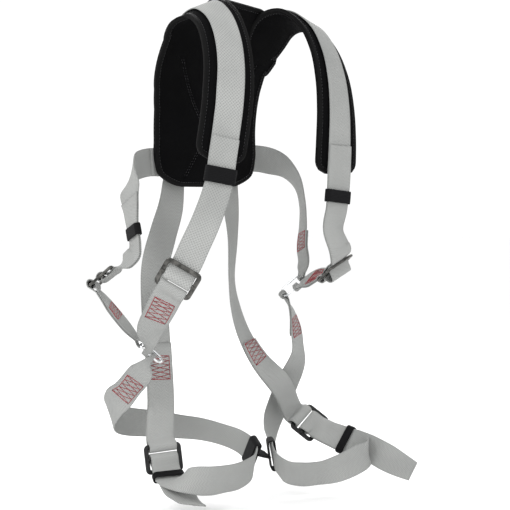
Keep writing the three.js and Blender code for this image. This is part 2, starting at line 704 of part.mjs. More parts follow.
// A short flat sleeve round a strap, centred on a layer lift off it.
function sleeve(route, where, length, size, lift) {
  const shape = roundedRect(size.innerWidth + 2 * size.wall, size.innerDepth + 2 * size.wall, 1.8);
  shape.holes.push(roundedRect(size.innerWidth, size.innerDepth, 0.8, THREE.Path));
  const body = new THREE.ExtrudeGeometry(shape, { depth: length, bevelEnabled: false, curveSegments: 2 });
  const p = nearest(dress(route), where);
  const basis = new THREE.Matrix4().makeBasis(p.w, p.n, p.t);
  const base = p.c.clone().addScaledVector(p.n, lift).addScaledVector(p.t, -length / 2);
  return body.applyMatrix4(basis.setPosition(base));
}
const KEEPERS = {
  right_shoulder_keeper: [rightShoulderRoute, [-137, -111, -250], 24, 1],
  left_shoulder_keeper: [leftShoulderRoute, [105, -112, -280], 20, 1],
  right_side_keeper: [rightSideRoute, [-190, 30, -334], 18, 1],
  right_leg_keeper: [rightLegRoute, [-148, 0, -707], 11, -1, 9.2],
  left_leg_keeper: [leftLegRoute, [184, -52, -682], 13, -1, 9.6],
};
for (const [name, [route, where, length, side, innerDepth = 8.2]] of Object.entries(KEEPERS)) {
  addPart(name, sleeve(route, where, length, { ...KEEPER, innerDepth }, (side * LAYER_STEP) / 2), ELASTIC);
}

// Two loops of black tape, one round each leg strap, and the sewn tie between them.
const rightCrotch = nearest(dress(rightLegRoute), [11, -12, -687]);
const leftCrotch = nearest(dress(leftLegRoute), [54, -17, -696]);
addPart('crotch_loop_right', sleeve(rightLegRoute, rightCrotch.c.toArray(), 22, CROTCH_LOOP, 0), ELASTIC);
addPart('crotch_loop_left', sleeve(leftLegRoute, leftCrotch.c.toArray(), 22, CROTCH_LOOP, 0), ELASTIC);
const tieReach = CROTCH_LOOP.innerDepth / 2 + CROTCH_LOOP.wall + 4.4;
const tieEnd = (p, side) => ({
  c: p.c.clone().addScaledVector(p.n, side * tieReach),
  w: p.t,
  width: 20,
});
addPart('crotch_tie', sweep([tieEnd(rightCrotch, 1), tieEnd(leftCrotch, -1)], { thick: 4.4 }), ELASTIC);

// ---- Bar tacks ----
// A tack is a thin block of thread on a strap's face, from one point of its route to another.
function addTack(name, route, from, to, lift) {
  const all = dress(route);
  const ends = [from, to].map((p) => all.indexOf(nearest(all, p))).sort((a, b) => a - b);
  const patch = all.slice(ends[0], ends[1] + 1).map((p) => ({
    c: p.c.clone().addScaledVector(p.n, lift),
    w: p.w,
    width: TACK.width,
  }));
  addPart(name, sweep(patch, { thick: TACK.thick }), RED_THREAD);
}
const overTie = LAYER_STEP / 2 + TACK_LIFT;
addTack('right_shoulder_tack', rightShoulderTie, [-181, -36, -436], [-185, -16, -463], overTie);
addTack('left_shoulder_tack', leftShoulderTie, [122, -60, -406], [123, -36, -412], -overTie);
addTack('right_side_tack', rightSideTie, [-217, 59, -444], [-204, 51, -465], overTie);
addTack('right_back_tack', rightBackRoute, [-120, 60, -528], [-124, 52, -568], LAYER_STEP + TACK_LIFT);
addTack('left_back_tack', leftBackRoute, [76, 71, -519], [93, 55, -556], LAYER_STEP + TACK_LIFT);
addTack('right_leg_tack', rightLegRoute, [-189, 32, -562], [-200, 52, -588], TACK_LIFT);
addTack('left_leg_tack', leftLegRoute, [145, 29, -480], [152, 28, -511], TACK_LIFT + 0.3);
addTack('left_side_tack', leftSideRoute, [153, 16, -336], [147, 14, -372], -TACK_LIFT);

export default harness;
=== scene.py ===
# A padded body harness of flat webbing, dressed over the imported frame. Everything is in metres in
# the part's own frame: +Z is up, the wearer faces -Y and the wearer's left is +X.
import math

import bpy
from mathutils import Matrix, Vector


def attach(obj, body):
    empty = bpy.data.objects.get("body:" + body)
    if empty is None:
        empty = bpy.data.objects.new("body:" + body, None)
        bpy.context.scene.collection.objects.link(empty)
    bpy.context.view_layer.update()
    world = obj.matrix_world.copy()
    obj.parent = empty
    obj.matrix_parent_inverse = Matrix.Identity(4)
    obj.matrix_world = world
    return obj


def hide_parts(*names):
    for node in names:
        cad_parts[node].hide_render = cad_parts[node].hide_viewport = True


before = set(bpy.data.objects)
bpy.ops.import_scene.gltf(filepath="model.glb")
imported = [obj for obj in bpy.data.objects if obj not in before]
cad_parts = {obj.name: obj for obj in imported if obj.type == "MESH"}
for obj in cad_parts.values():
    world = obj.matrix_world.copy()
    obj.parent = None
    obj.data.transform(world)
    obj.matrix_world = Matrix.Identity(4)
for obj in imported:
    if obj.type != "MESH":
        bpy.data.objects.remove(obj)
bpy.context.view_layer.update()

# ---- Driving dimensions ----
WEB_WIDTH = 0.045
WEB_THICK = 0.002
LAYER_STEP = 0.0026  # centre to centre of two layers of webbing
FOLD_RADIUS = 0.006  # webbing round a sliding bar
FOLD_REACH = 1.38  # how far past the bar the webbing turns, in radii
EYE_RADIUS = 0.0058  # webbing round a link's wire
SETTLE = 0.014  # how soon a folded layer lies flat
PAD_WIDTH = 0.070
PAD_MIDDLE = 0.0058  # half a pad's thickness in the middle
PAD_EDGE = 0.0030  # and at its bound edge
ON_PAD = 0.0085  # a pad's middle layer to the webbing on it
TAPE_OUT = 0.0016
TAPE_DEEP = 0.0042
TAPE_THICK = 0.0040
BAR_PITCH = 0.0195  # a buckle's cross bar to its fixed bar
LINK_LENGTH = 0.046
LINK_WIDTH = 0.021
LINK_WIRE = 0.0021
WIRE_OFFSET = LINK_WIDTH / 2 - LINK_WIRE
TACK_WIDTH = 0.033
TACK_LIFT = 0.0013  # thread's middle above the middle of the webbing
THREAD = 0.00042
STITCH_THREAD = 0.0003
TAPE_STITCH = (0.0032, 0.0018)  # a stitch and the gap after it
SEAM_STITCH = (0.0034, 0.002)
SEAM_WIDTH = 0.0035
SEAM_DEPTH = 0.0021
PANEL_CORNER = 0.022  # radii of the yoke's rounded corners
NECK_CORNER = 0.014
PAD_CORNER = 0.016
PAD_FLARE = 0.008  # how much wider a shoulder pad is where it meets the panel
PAD_LEAVES_PANEL = 0.0455  # Y where a shoulder pad's own tape begins
KEEPER_WIDTH = 0.0482
KEEPER_WALL = 0.0014
CROTCH_SIZE = (0.049, 0.009)
CROTCH_WALL = 0.0022
CROTCH_LOOP_LENGTH = 0.022
CROTCH_TIE_WIDTH = 0.02
CROTCH_TIE_THICK = 0.0042
FLOOR_Z = -0.762
STEPS = 6  # rings between two stations


# ---- Camera ----
def add_camera():
    back = Vector((-0.669, -0.743, 0.035)).normalized()
    target = Vector((0.019, -0.013, -0.372))
    data = bpy.data.cameras.new("camera")
    data.sensor_width = 36
    data.lens = 101.5
    camera = bpy.data.objects.new("camera", data)
    bpy.context.scene.collection.objects.link(camera)
    camera.location = target + 2.3 * back
    camera.rotation_mode = "QUATERNION"
    camera.rotation_quaternion = (-back).to_track_quat("-Z", "Y")
    bpy.context.scene.camera = camera


add_camera()


# ---- Routes ----
class Point:
    """A point on a strap: its centre, the way its width runs and that width. dress() adds the rest."""

    def __init__(self, c, w, width):
        self.c = c
        self.w = w
        self.width = width
        self.t = None
        self.n = None


def smooth(x, low, high):
    t = min(max((x - low) / (high - low), 0.0), 1.0)
    return t * t * (3 - 2 * t)


def on_curve(points, t):
    """A point on the centripetal curve through the points, with t from 0 to 1 shared by index."""
    last = len(points) - 1
    i = min(int(t * last), last - 1)
    f = t * last - i
    p1 = points[i]
    p2 = points[i + 1]
    p0 = points[i - 1] if i > 0 else 2 * p1 - p2
    p3 = points[i + 2] if i + 2 <= last else 2 * p2 - p1
    d1 = (p2 - p1).length ** 0.5
    d1 = d1 if d1 > 1e-4 else 1.0
    d0 = (p1 - p0).length ** 0.5
    d0 = d0 if d0 > 1e-4 else d1
    d2 = (p3 - p2).length ** 0.5
    d2 = d2 if d2 > 1e-4 else d1
    a = ((p1 - p0) / d0 - (p2 - p0) / (d0 + d1) + (p2 - p1) / d1) * d1
    b = ((p2 - p1) / d1 - (p3 - p1) / (d1 + d2) + (p3 - p2) / d2) * d1
    return p1 + a * f + (3 * (p2 - p1) - 2 * a - b) * f * f + (2 * (p1 - p2) + a + b) * f**3


def sample(stations, steps=None, width=WEB_WIDTH):
    """Points along the stations, each (x, y, z, across x, across y, across z, width)."""
    steps = steps or STEPS * (len(stations) - 1)
    centres = [Vector(s[:3]) for s in stations]
    across = [Vector(s[3:6]).normalized() for s in stations]
    widths = [Vector((i * 0.05, s[6] if len(s) > 6 else width, 0)) for i, s in enumerate(stations)]
    made = []
    for i in range(steps + 1):
        t = i / steps
        made.append(Point(on_curve(centres, t), on_curve(across, t).normalized(), on_curve(widths, t).y))
    return made


def dress(points, closed=False):
    """Squares each width to the centre line and finds the way the strap faces."""
    last = len(points) - 1
    made = []
    for i, p in enumerate(points):
        before = points[(i - 1) % (last + 1) if closed else max(i - 1, 0)]
        after = points[(i + 1) % (last + 1) if closed else min(i + 1, last)]
        q = Point(p.c, p.w, p.width)
        q.t = (after.c - before.c).normalized()
        q.w = (p.w - q.t * p.w.dot(q.t)).normalized()
        q.n = q.t.cross(q.w)
        made.append(q)
    return made


def shifted(points, offset):
    return [Point(p.c + p.n * offset, p.w, p.width) for p in dress(points)]


def fold_back(points, tail, face=1, radius=FOLD_RADIUS, reach=FOLD_REACH):
    """Turns the end of a strap round a bar and lays a tail back along it."""
    route = dress(points)
    end = route[-1]
    bar = end.c + end.n * face * radius
    folded = list(points)
    for k in range(1, 14):
        angle = k / 14 * math.pi
        c = bar - end.n * face * radius * math.cos(angle) + end.t * radius * reach * math.sin(angle)
        folded.append(Point(c, end.w, end.width))
    run = 0.0
    for i in range(len(route) - 1, -1, -1):
        if run > tail:
            break
        r = route[i]
        if i < len(route) - 1:
            run += (r.c - route[i + 1].c).length
        settle = smooth(run, 0, SETTLE)
        lift = 2 * radius + (LAYER_STEP - 2 * radius) * settle
        folded.append(Point(r.c + r.n * face * lift, r.w, r.width))
    return folded


def looped(points, tail):
    """A strap whose start is folded round a link's wire and sewn back on itself."""
    return fold_back(points[::-1], tail, 1, EYE_RADIUS, 1)[::-1]


def sewn_ring(points, start_radius, end_radius):
    """A short strap sewn into a ring: two layers with an eye at each end."""
    route = dress(points)

    def layer(sign):
        made = []
        for r in route:
            a = start_radius * (1 - smooth((r.c - route[0].c).length, 0, 2.6 * start_radius))
            b = end_radius * (1 - smooth((r.c - route[-1].c).length, 0, 2.6 * end_radius))
            made.append(Point(r.c + r.n * sign * max(LAYER_STEP / 2, a, b), r.w, r.width))
        return made

    def turn(r, radius, way, reach):
        made = []
        for k in range(1, 12):
            angle = k / 12 * math.pi
            c = r.c + r.n * way * radius * math.cos(angle) + r.t * way * radius * reach * math.sin(angle)
            made.append(Point(c, r.w, r.width))
        return made

    there = layer(1) + turn(route[-1], end_radius, 1, 1)
    return there + layer(-1)[::-1] + turn(route[0], start_radius, -1, FOLD_REACH)


# ---- Where the hardware sits ----
class Seat:
    """A buckle's cross bar, the way the strap arrives at it and the way the buckle faces."""

    def __init__(self, at, bar, arrives):
        self.across = Vector(bar).normalized()
        down = Vector(arrives)
        self.down = (down - self.across * down.dot(self.across)).normalized()
        self.out = self.down.cross(self.across)
        self.centre = Vector(at)
        self.fixed_bar = self.centre + self.down * BAR_PITCH


SEATS = {
    "right_shoulder": Seat((-0.174, -0.056, -0.402), (0.68, -0.52, -0.5), (-0.2, 0.45, -0.86)),
    "left_shoulder": Seat((0.116, -0.097, -0.393), (0.91, 0, 0.4), (0.19, 0.84, -0.5)),
    "right_side": Seat((-0.225, 0.062, -0.402), (-0.7, -0.7, 0.12), (-0.55, 0.5, -0.67)),
    "right_leg": Seat((-0.142, 0.02, -0.684), (-0.95, 0.3, -0.05), (0.02, 0.2, 1)),
    "left_leg": Seat((0.173, 0.02, -0.661), (-0.83, -0.08, -0.54), (-0.4, 0.6, 0.55)),
}


class Link:
    def __init__(self, at, long, short):
        self.centre = Vector(at)
        self.a = Vector(long).normalized()
        b = Vector(short)
        self.b = (b - self.a * b.dot(self.a)).normalized()

    def wire(self, side, along):
        """A point on one long wire, along from its middle."""
        return self.centre + self.b * side * WIRE_OFFSET + self.a * along

    def bow(self, end):
        """The middle of the bow at one end."""
        return self.centre + self.a * end * (LINK_LENGTH / 2 - LINK_WIRE)


RIGHT_LINK = Link((-0.164, 0.022, -0.519), (0.55, -0.5, -0.67), (0.8, 0.5, 0.28))
LEFT_LINK = Link((0.133, 0.021, -0.427), (0.55, -0.5, 0.67), (-0.06, -0.82, -0.56))


def station(p, w, width=WEB_WIDTH):
    return (*p, *w, width)


def into_buckle(s, side, approach=(0.027, 0.014)):
    """Past a buckle's top bar to its cross bar: side is -1 behind the top bar, 1 in front of it."""
    made = []
    for back in (*approach, 0):
        lift = FOLD_RADIUS + 0.0009 if back > 0 else FOLD_RADIUS
        made.append(station(s.centre - s.down * back + s.out * side * lift, s.across))
    return made


def onto_fixed_bar(s):
    made = []
    for back in (0.014, 0):
        made.append(station(s.fixed_bar + s.down * back - s.out * FOLD_RADIUS, -s.across))
    return made


def into_eye(wire, across, arrives, face, neck):
    """The narrowed end of a strap, passing a link's wire on one side."""
    w = Vector(across).normalized()
    t = Vector(arrives)
    t = (t - w * t.dot(w)).normalized()
    n = t.cross(w)
    return [station(wire - t * back - n * face * EYE_RADIUS, w, neck + 0.7 * back) for back in (0.012, 0)]


def sewn_tie(s, across, middle, wire, wire_across, neck):
    """From a buckle's fixed bar to a link, leaving both squarely."""

    def square(start, to, w):
        d = Vector(to[:3]) - start
        return (d - w * d.dot(w)).normalized()

    leaves = s.fixed_bar + square(s.fixed_bar, middle[0], across) * 0.012
    meets = wire + square(wire, middle[-1], wire_across) * 0.011
    ends = [station(meets, wire_across, neck + 0.006), station(wire, wire_across, neck)]
    return sample([station(s.fixed_bar, across), station(leaves, across), *middle, *ends], 48)


PANEL_STATIONS = [
    (0, 0.086, -0.257, -1, 0, 0, 0.146),
    (0, 0.086, -0.24, -1, 0, 0, 0.188),
    (0, 0.086, -0.213, -1, 0, 0, 0.202),
    (0, 0.086, -0.189, -1, 0, 0, 0.202),
    (0, 0.086, -0.165, -1, 0, 0, 0.202),
    (0, 0.083, -0.133, -1, 0, 0, 0.204),
    (-0.003, 0.073, -0.1, -1, 0, 0, 0.21),
    (-0.006, 0.057, -0.066, -1, 0, 0, 0.222),
    (0.001, 0.038, -0.03, -1, 0, 0, 0.238),
]
NECK_STATIONS = [
    (0, 0.0495, -0.05, -1, 0, 0, 0.17),
    (0, 0.037, -0.028, -1, 0, 0, 0.15),
    (0.002, 0.028, -0.009, -1, 0, 0, 0.132),
    (0.005, 0.019, 0.01, -1, 0, 0, 0.124),
    (0.007, 0.01, 0.024, -1, 0, 0, 0.122),
]
RIGHT_PAD_STATIONS = [
    (-0.079, 0.0364, -0.027, -1, 0, 0),
    (-0.081, 0.015, 0, -0.95, 0, -0.25),
    (-0.084, -0.012, 0.009, -0.92, 0, -0.36),
    (-0.092, -0.05, -0.009, -0.95, 0.05, -0.25),
    (-0.101, -0.08, -0.045, -0.94, 0.25, 0.05),
    (-0.109, -0.097, -0.09, -0.94, 0.3, 0.2),
    (-0.117, -0.103, -0.14, -0.94, 0.3, 0.2),
    (-0.124, -0.103, -0.182, -0.95, 0.28, 0.2),
    (-0.132, -0.103, -0.222, -0.95, 0.27, 0.2),
]
LEFT_PAD_STATIONS = [
    (0.085, 0.0358, -0.026, -1, 0, 0),
    (0.089, 0.015, 0, -0.95, -0.08, 0.25),
    (0.1, -0.012, 0.008, -0.9, -0.25, 0.3),
    (0.108, -0.05, -0.01, -0.92, -0.32, 0.1),
    (0.111, -0.077, -0.045, -0.95, -0.25, 0),
    (0.112, -0.094, -0.09, -0.98, -0.12, 0),
    (0.113, -0.101, -0.14, -1, -0.02, 0),
    (0.112, -0.103, -0.19, -1, 0.06, 0),
    (0.11, -0.103, -0.238, -1, 0.1, 0),
]
panel_line = dress(sample(PANEL_STATIONS, 60))


def on_panel(x, z, layer, across):
    """A station on the panel's outer face, lifted clear of the webbing already there."""
    near = min(panel_line, key=lambda p: abs(p.c.z - z))
    p = near.c - near.n * (ON_PAD + layer * LAYER_STEP)
    w = Vector(across)
    w = (w - near.n * w.dot(near.n)).normalized()
    return (x, p.y, p.z, *w, WEB_WIDTH)


def over_pad(stations):
    """Stations that follow a pad, lifted off its outer face."""
    points = sample(stations, 24, PAD_WIDTH)
    lifted = shifted(points, -ON_PAD)
    start = dress(points)[0]
    before = lifted[0].c - start.t * 0.011 - start.n * 0.0012
    return [station(before, -start.w), *[station(p.c, -p.w) for p in lifted]]


right_shoulder = sample([
    on_panel(0.057, -0.253, 1, (1, 0, 0)),
    on_panel(0.052, -0.238, 1, (0.97, 0, 0.2)),
    on_panel(0.037, -0.212, 1, (0.9, 0, 0.45)),
    on_panel(0.01, -0.165, 1, (0.9, 0, 0.45)),
    on_panel(-0.023, -0.108, 1, (0.9, 0, 0.42)),
    on_panel(-0.052, -0.065, 1, (0.92, 0, 0.38)),
    *over_pad(RIGHT_PAD_STATIONS),
    (-0.139, -0.11, -0.254, 0.95, -0.26, -0.2),
    (-0.145, -0.106, -0.281, 0.94, -0.3, -0.24),
    (-0.154, -0.095, -0.319, 0.88, -0.4, -0.3),
    (-0.161, -0.08, -0.352, 0.8, -0.46, -0.4),
    *into_buckle(SEATS["right_shoulder"], -1),
])
left_shoulder = sample([
    on_panel(-0.057, -0.253, 2.1, (1, 0, 0)),
    on_panel(-0.052, -0.238, 2.1, (0.97, 0, -0.2)),
    on_panel(-0.037, -0.212, 2.1, (0.9, 0, -0.45)),
    on_panel(-0.01, -0.165, 2.2, (0.9, 0, -0.45)),
    on_panel(0.023, -0.108, 2.1, (0.9, 0, -0.42)),
    on_panel(0.053, -0.065, 1.6, (0.92, 0, -0.38)),
    *over_pad(LEFT_PAD_STATIONS),
    (0.107, -0.112, -0.262, 0.99, -0.08, 0),
    (0.103, -0.112, -0.296, 0.99, 0, 0.03),
    (0.092, -0.115, -0.33, 0.98, 0.1, 0.12),
    (0.094, -0.126, -0.359, 0.95, 0.05, 0.3),
    *into_buckle(SEATS["left_shoulder"], -1),
])
band = sample([
    on_panel(-0.107, -0.225, 0, (0, 0, 1)),
    on_panel(0, -0.22, 0, (0, 0, 1)),
    on_panel(0.107, -0.214, 0, (0, 0, 1)),
], 40)
right_side = sample([
    on_panel(-0.09, -0.2248, 0.4, (0, 0, 1)),
    on_panel(-0.108, -0.2255, 0.4, (0, 0, 1)),
    (-0.134, 0.092, -0.2295, -0.15, -0.1, 0.98),
    (-0.158, 0.079, -0.244, -0.3, -0.65, 0.7),
    (-0.174, 0.062, -0.27, 0, -1, 0.1),
    (-0.182, 0.046, -0.296, -0.2, -0.97, 0),
    (-0.188, 0.034, -0.324, -0.3, -0.95, 0),
    (-0.188, 0.028, -0.35, -0.3, -0.93, -0.15),
    (-0.189, 0.029, -0.365, -0.3, -0.87, -0.35),
    (-0.197, 0.037, -0.378, -0.35, -0.84, -0.4),
    *into_buckle(SEATS["right_side"], -1),
])
left_side = sample([
    on_panel(0.09, -0.2144, 0.4, (0, 0, -1)),
    on_panel(0.111, -0.214, 0.3, (0, 0, -1)),
    (0.14, 0.091, -0.216, 0.1, 0.1, -1),
    (0.163, 0.071, -0.228, 0.35, 0.5, -0.8),
    (0.17, 0.048, -0.252, 0.45, 0.72, -0.5),
    (0.163, 0.028, -0.288, 0.52, 0.84, -0.15),
    (0.155, 0.018, -0.325, 0.48, 0.88, 0),
    (0.147, 0.013, -0.362, 0.4, 0.92, 0, 0.042),
    (0.144, 0.006, -0.386, 0.2, 0.95, 0.2, 0.028),
    *into_eye(LEFT_LINK.bow(1), -LEFT_LINK.b, (0.04, 0.38, -0.58), 1, 0.007),
])
right_back = sample([
    (-0.0555, 0.1008, -0.243, 1, 0, 0),
    (-0.057, 0.1004, -0.259, 1, 0, 0),
    (-0.063, 0.1, -0.296, 0.97, -0.2, 0),
    (-0.083, 0.095, -0.34, 0.94, -0.33, 0),
    (-0.108, 0.084, -0.392, 0.94, -0.33, 0),
    (-0.118, 0.072, -0.45, 0.95, -0.31, 0),
    (-0.122, 0.058, -0.53, 0.97, -0.24, 0.04),
    (-0.128, 0.045, -0.6, 0.97, -0.22, 0.05),
    *onto_fixed_bar(SEATS["right_leg"]),
], 72)
left_back = sample([
    (0.0555, 0.0982, -0.243, 1, 0, 0),
    (0.057, 0.0978, -0.259, 1, 0, 0),
    (0.065, 0.098, -0.298, 0.96, 0.25, 0.1),
    (0.066, 0.095, -0.349, 0.88, 0.48, 0),
    (0.062, 0.093, -0.418, 0.8, 0.6, 0),
    (0.065, 0.086, -0.465, 0.88, 0.48, 0),
    (0.074, 0.074, -0.51, 0.94, 0.33, 0.04),
    (0.092, 0.056, -0.554, 0.93, 0.2, 0.28),
    (0.122, 0.036, -0.596, 0.82, 0.04, 0.56),
    *onto_fixed_bar(SEATS["left_leg"]),
], 80)
right_shoulder_tie = sewn_tie(
    SEATS["right_shoulder"],
    SEATS["right_shoulder"].across,
    [
        (-0.184, -0.024, -0.452, 0.8, -0.35, -0.5),
        (-0.184, 0, -0.484, 0.8, -0.2, -0.55, 0.04),
    ],
    RIGHT_LINK.wire(-1, -0.007),
    RIGHT_LINK.a,
    0.009,
)
left_shoulder_tie = sewn_tie(
    SEATS["left_shoulder"],
    SEATS["left_shoulder"].across,
    [
        (0.122, -0.045, -0.41, 0.78, 0.25, 0.55),
        (0.127, -0.02, -0.416, 0.75, 0.2, 0.6, 0.034),
    ],
    LEFT_LINK.wire(1, 0.005),
    LEFT_LINK.a,
    0.009,
)
right_side_tie = sewn_tie(
    SEATS["right_side"],
    -SEATS["right_side"].across,
    [
        (-0.216, 0.059, -0.446, 0.72, 0.66, 0.1),
        (-0.196, 0.046, -0.476, 0.75, 0.6, 0.2, 0.036),
    ],
    RIGHT_LINK.bow(-1),
    RIGHT_LINK.b,
    0.008,
)
right_leg = sample([
    *into_eye(RIGHT_LINK.wire(-1, 0.005), RIGHT_LINK.a, (0.15, -0.3, 1), 1, 0.008)[::-1],
    (-0.18, 0.026, -0.548, 0.7, -0.35, -0.6, 0.038),
    (-0.195, 0.04, -0.574, 0.84, -0.05, -0.55),
    (-0.203, 0.066, -0.598, 0.23, -0.64, -0.65),
    (-0.188, 0.094, -0.623, -0.17, -0.63, -0.85),
    (-0.146, 0.103, -0.636, -0.24, 0, -0.95),
    (-0.104, 0.1, -0.643, 0.1, 0.2, -0.95),
    (-0.06, 0.09, -0.651, 0.25, 0.3, -0.92),
    (-0.028, 0.066, -0.656, 0.3, 0.35, -0.88),
    (-0.006, 0.038, -0.664, 0.3, 0.4, -0.85),
    (0.008, 0.01, -0.674, 0.2, 0.35, -0.9),
    (0.011, -0.014, -0.688, 0.05, 0.3, -0.95),
    (-0.002, -0.034, -0.704, 0, 0.25, -0.96),
    (-0.04, -0.048, -0.713, 0, 0.15, -1),
    (-0.085, -0.058, -0.713, 0, 0.15, -1),
    (-0.123, -0.065, -0.71, 0.03, 0.05, -1),
    (-0.149, -0.05, -0.708, -0.4, -0.35, -0.85, 0.042),
    (-0.154, -0.028, -0.711, -0.85, 0, -0.5, 0.04),
    (-0.151, -0.009, -0.712, -0.94, 0.28, -0.15),
    (-0.147, 0.003, -0.705, -0.95, 0.3, -0.07),
    *into_buckle(SEATS["right_leg"], 1, (0.014,)),
])
left_leg = sample([
    *into_eye(LEFT_LINK.bow(-1), -LEFT_LINK.b, (-0.57, -0.3, 0.75), 1, 0.007)[::-1],
    (0.142, 0.03, -0.47, 0.7, 0.62, 0.2, 0.032),
    (0.149, 0.028, -0.502, 0.9, 0.4, 0),
    (0.154, 0.029, -0.531, 0.92, 0.38, 0),
    (0.156, 0.037, -0.56, 0.97, 0.08, -0.22),
    (0.155, 0.054, -0.592, 0.88, -0.05, -0.48),
    (0.145, 0.066, -0.629, 0.8, -0.08, -0.6),
    (0.127, 0.064, -0.657, 0.76, 0, -0.65),
    (0.102, 0.044, -0.68, 0.65, 0.15, -0.75),
    (0.074, 0.01, -0.692, 0.5, 0.3, -0.8),
    (0.052, -0.02, -0.697, 0.4, 0.35, -0.85),
    (0.042, -0.042, -0.707, 0.4, 0.4, -0.83),
    (0.048, -0.058, -0.717, 0.35, 0.4, -0.85),
    (0.072, -0.066, -0.724, 0.3, 0.35, -0.9),
    (0.106, -0.07, -0.726, 0.28, 0.3, -0.9),
    (0.142, -0.081, -0.721, 0.3, -0.1, -0.95),
    (0.171, -0.095, -0.708, 0.37, -0.3, -0.87),
    (0.19, -0.1, -0.697, 0.35, 0.2, -0.9),
    (0.194, -0.086, -0.69, 0, 0.4, -0.9),
    (0.187, -0.062, -0.684, -0.5, 0.1, -0.85),
    (0.18, -0.038, -0.677, -0.68, 0, -0.7),
    (0.176, -0.016, -0.671, -0.8, -0.05, -0.6),
    *into_buckle(SEATS["left_leg"], 1, (0.014,)),
])
right_tail = sample([
    (-0.1516, -0.0144, -0.715, -0.97, 0.12, -0.23),
    (-0.152, -0.025, -0.725, -0.94, 0.05, -0.22),
    (-0.15, -0.038, -0.732, -0.96, 0, -0.1),
    (-0.146, -0.051, -0.74, -0.97, 0, 0.15),
    (-0.14, -0.066, -0.745, -0.95, -0.04, 0.31),
])
left_tail = sample([
    (0.1884, -0.0563, -0.6844, -0.54, 0.07, -0.84),
    (0.199, -0.077, -0.69, -0.2, 0.1, -0.95),
    (0.208, -0.091, -0.696, -0.15, 0.1, -0.95),
    (0.215, -0.108, -0.704, -0.2, -0.05, -0.95),
    (0.228, -0.131, -0.717, -0.5, -0.25, -0.8),
    (0.243, -0.152, -0.729, -0.8, -0.3, -0.5),
])


# ---- Materials ----
def linear(code):
    parts = [(code >> shift & 255) / 255 for shift in (16, 8, 0)]
    return [p / 12.92 if p <= 0.04045 else ((p + 0.055) / 1.055) ** 2.4 for p in parts] + [1.0]


class Look:
    """A material being built: its shader, and short ways to add the nodes that feed it."""

    def __init__(self, name):
        self.material = bpy.data.materials.new(name)
        self.material.use_nodes = True
        self.tree = self.material.node_tree
        self.shader = self.tree.nodes["Principled BSDF"]

    def set(self, **values):
        for name, value in values.items():
            self.shader.inputs[name.replace("_", " ")].default_value = value

    def add(self, kind, **settings):
        node = self.tree.nodes.new(kind)
        for name, value in settings.items():
            setattr(node, name, value)
        return node

    def feed(self, value, socket):
        if isinstance(value, (int, float)):
            socket.default_value = value
        else:
            self.tree.links.new(value, socket)

    def math(self, operation, *values):
        node = self.add("ShaderNodeMath", operation=operation)
        for value, socket in zip(values, node.inputs):
            self.feed(value, socket)
        return node.outputs[0]

    def wave(self, x, pitch):
        """A wave from 0 to 1 along x, one crest each pitch."""
        turned = self.math("SINE", self.math("MULTIPLY", x, 2 * math.pi / pitch))
        return self.math("MULTIPLY_ADD", turned, 0.5, 0.5)

    def across_along(self):
        """The place on a strap, in metres: across it and along it."""
        split = self.add("ShaderNodeSeparateXYZ")
        self.feed(self.add("ShaderNodeUVMap").outputs[0], split.inputs[0])
        return split.outputs[0], split.outputs[1]

    def place(self):
        return self.add("ShaderNodeTexCoord").outputs["Object"]

    def noise(self, scale, detail=3.0, at=None):
        node = self.add("ShaderNodeTexNoise")
        node.inputs["Scale"].default_value = scale
        node.inputs["Detail"].default_value = detail
        self.feed(at or self.place(), node.inputs["Vector"])
        return node.outputs["Fac"]

    def ramp(self, value, low, high, start=0.0, end=1.0):
        """Carries value from start..end onto low..high."""
        node = self.add("ShaderNodeMapRange")
        for socket, x in zip(node.inputs, (value, start, end, low, high)):
            self.feed(x, socket)
        return node.outputs[0]

    def colour(self, value, dark, light):
        """A colour between two, by value."""
        node = self.add("ShaderNodeMix", data_type="RGBA")
        self.feed(value, node.inputs["Factor"])
        node.inputs["A"].default_value = linear(dark)
        node.inputs["B"].default_value = linear(light)
        self.feed(node.outputs["Result"], self.shader.inputs["Base Color"])

    def bump(self, height, distance, strength=1.0):
        node = self.add("ShaderNodeBump")
        node.inputs["Distance"].default_value = distance
        node.inputs["Strength"].default_value = strength
        self.feed(height, node.inputs["Height"])
        self.feed(node.outputs[0], self.shader.inputs["Normal"])


def webbing_look(name, dark, light, rib, diamond=0.0):
    """Woven webbing: ribs across it that lean one way and the other, selvedges and a little grime, with
    painted shade darkening the colour in the grooves of the weave.
    """
    look = Look(name)
    across, along = look.across_along()
    lean = look.math("PINGPONG", across, 0.0056)
    ribs = look.wave(look.math("ADD", along, look.math("MULTIPLY", lean, 0.45)), rib)
    height = ribs
    if diamond:
        one = look.wave(look.math("ADD", along, across), diamond)
        other = look.wave(look.math("SUBTRACT", along, across), diamond)
        one = look.math("POWER", one, 2.5)
        other = look.math("POWER", other, 2.5)
        crossed = look.math("MULTIPLY", look.math("MAXIMUM", one, other), 0.75)
        height = look.math("MULTIPLY_ADD", ribs, 0.25, crossed)
    yarn = look.wave(across, 0.0014)
    height = look.math("MULTIPLY_ADD", yarn, 0.2, look.math("MULTIPLY", height, 0.8))
    edge = look.ramp(look.math("ABSOLUTE", across), 1.0, 0.0, 0.0203, 0.0212)
    grime = look.ramp(look.noise(9.0, 5.0), 0.75, 1.0, 0.3, 0.6)
    fuzz = look.ramp(look.noise(900.0, 2.0), 0.9, 1.0)
    # the weave's height darkens the colour in its grooves: painted shade; grime and fuzz are random tone
    shade = look.math("MULTIPLY", look.ramp(height, 0.35, 1.0), look.math("MULTIPLY", grime, fuzz))
    shade = look.math("MULTIPLY", shade, look.ramp(edge, 0.8, 1.0))
    look.colour(shade, dark, light)
    look.bump(height, 0.0005)
    look.set(Roughness=0.82, Sheen_Weight=0.05, Sheen_Roughness=0.5, Specular_IOR_Level=0.2)
    return look.material


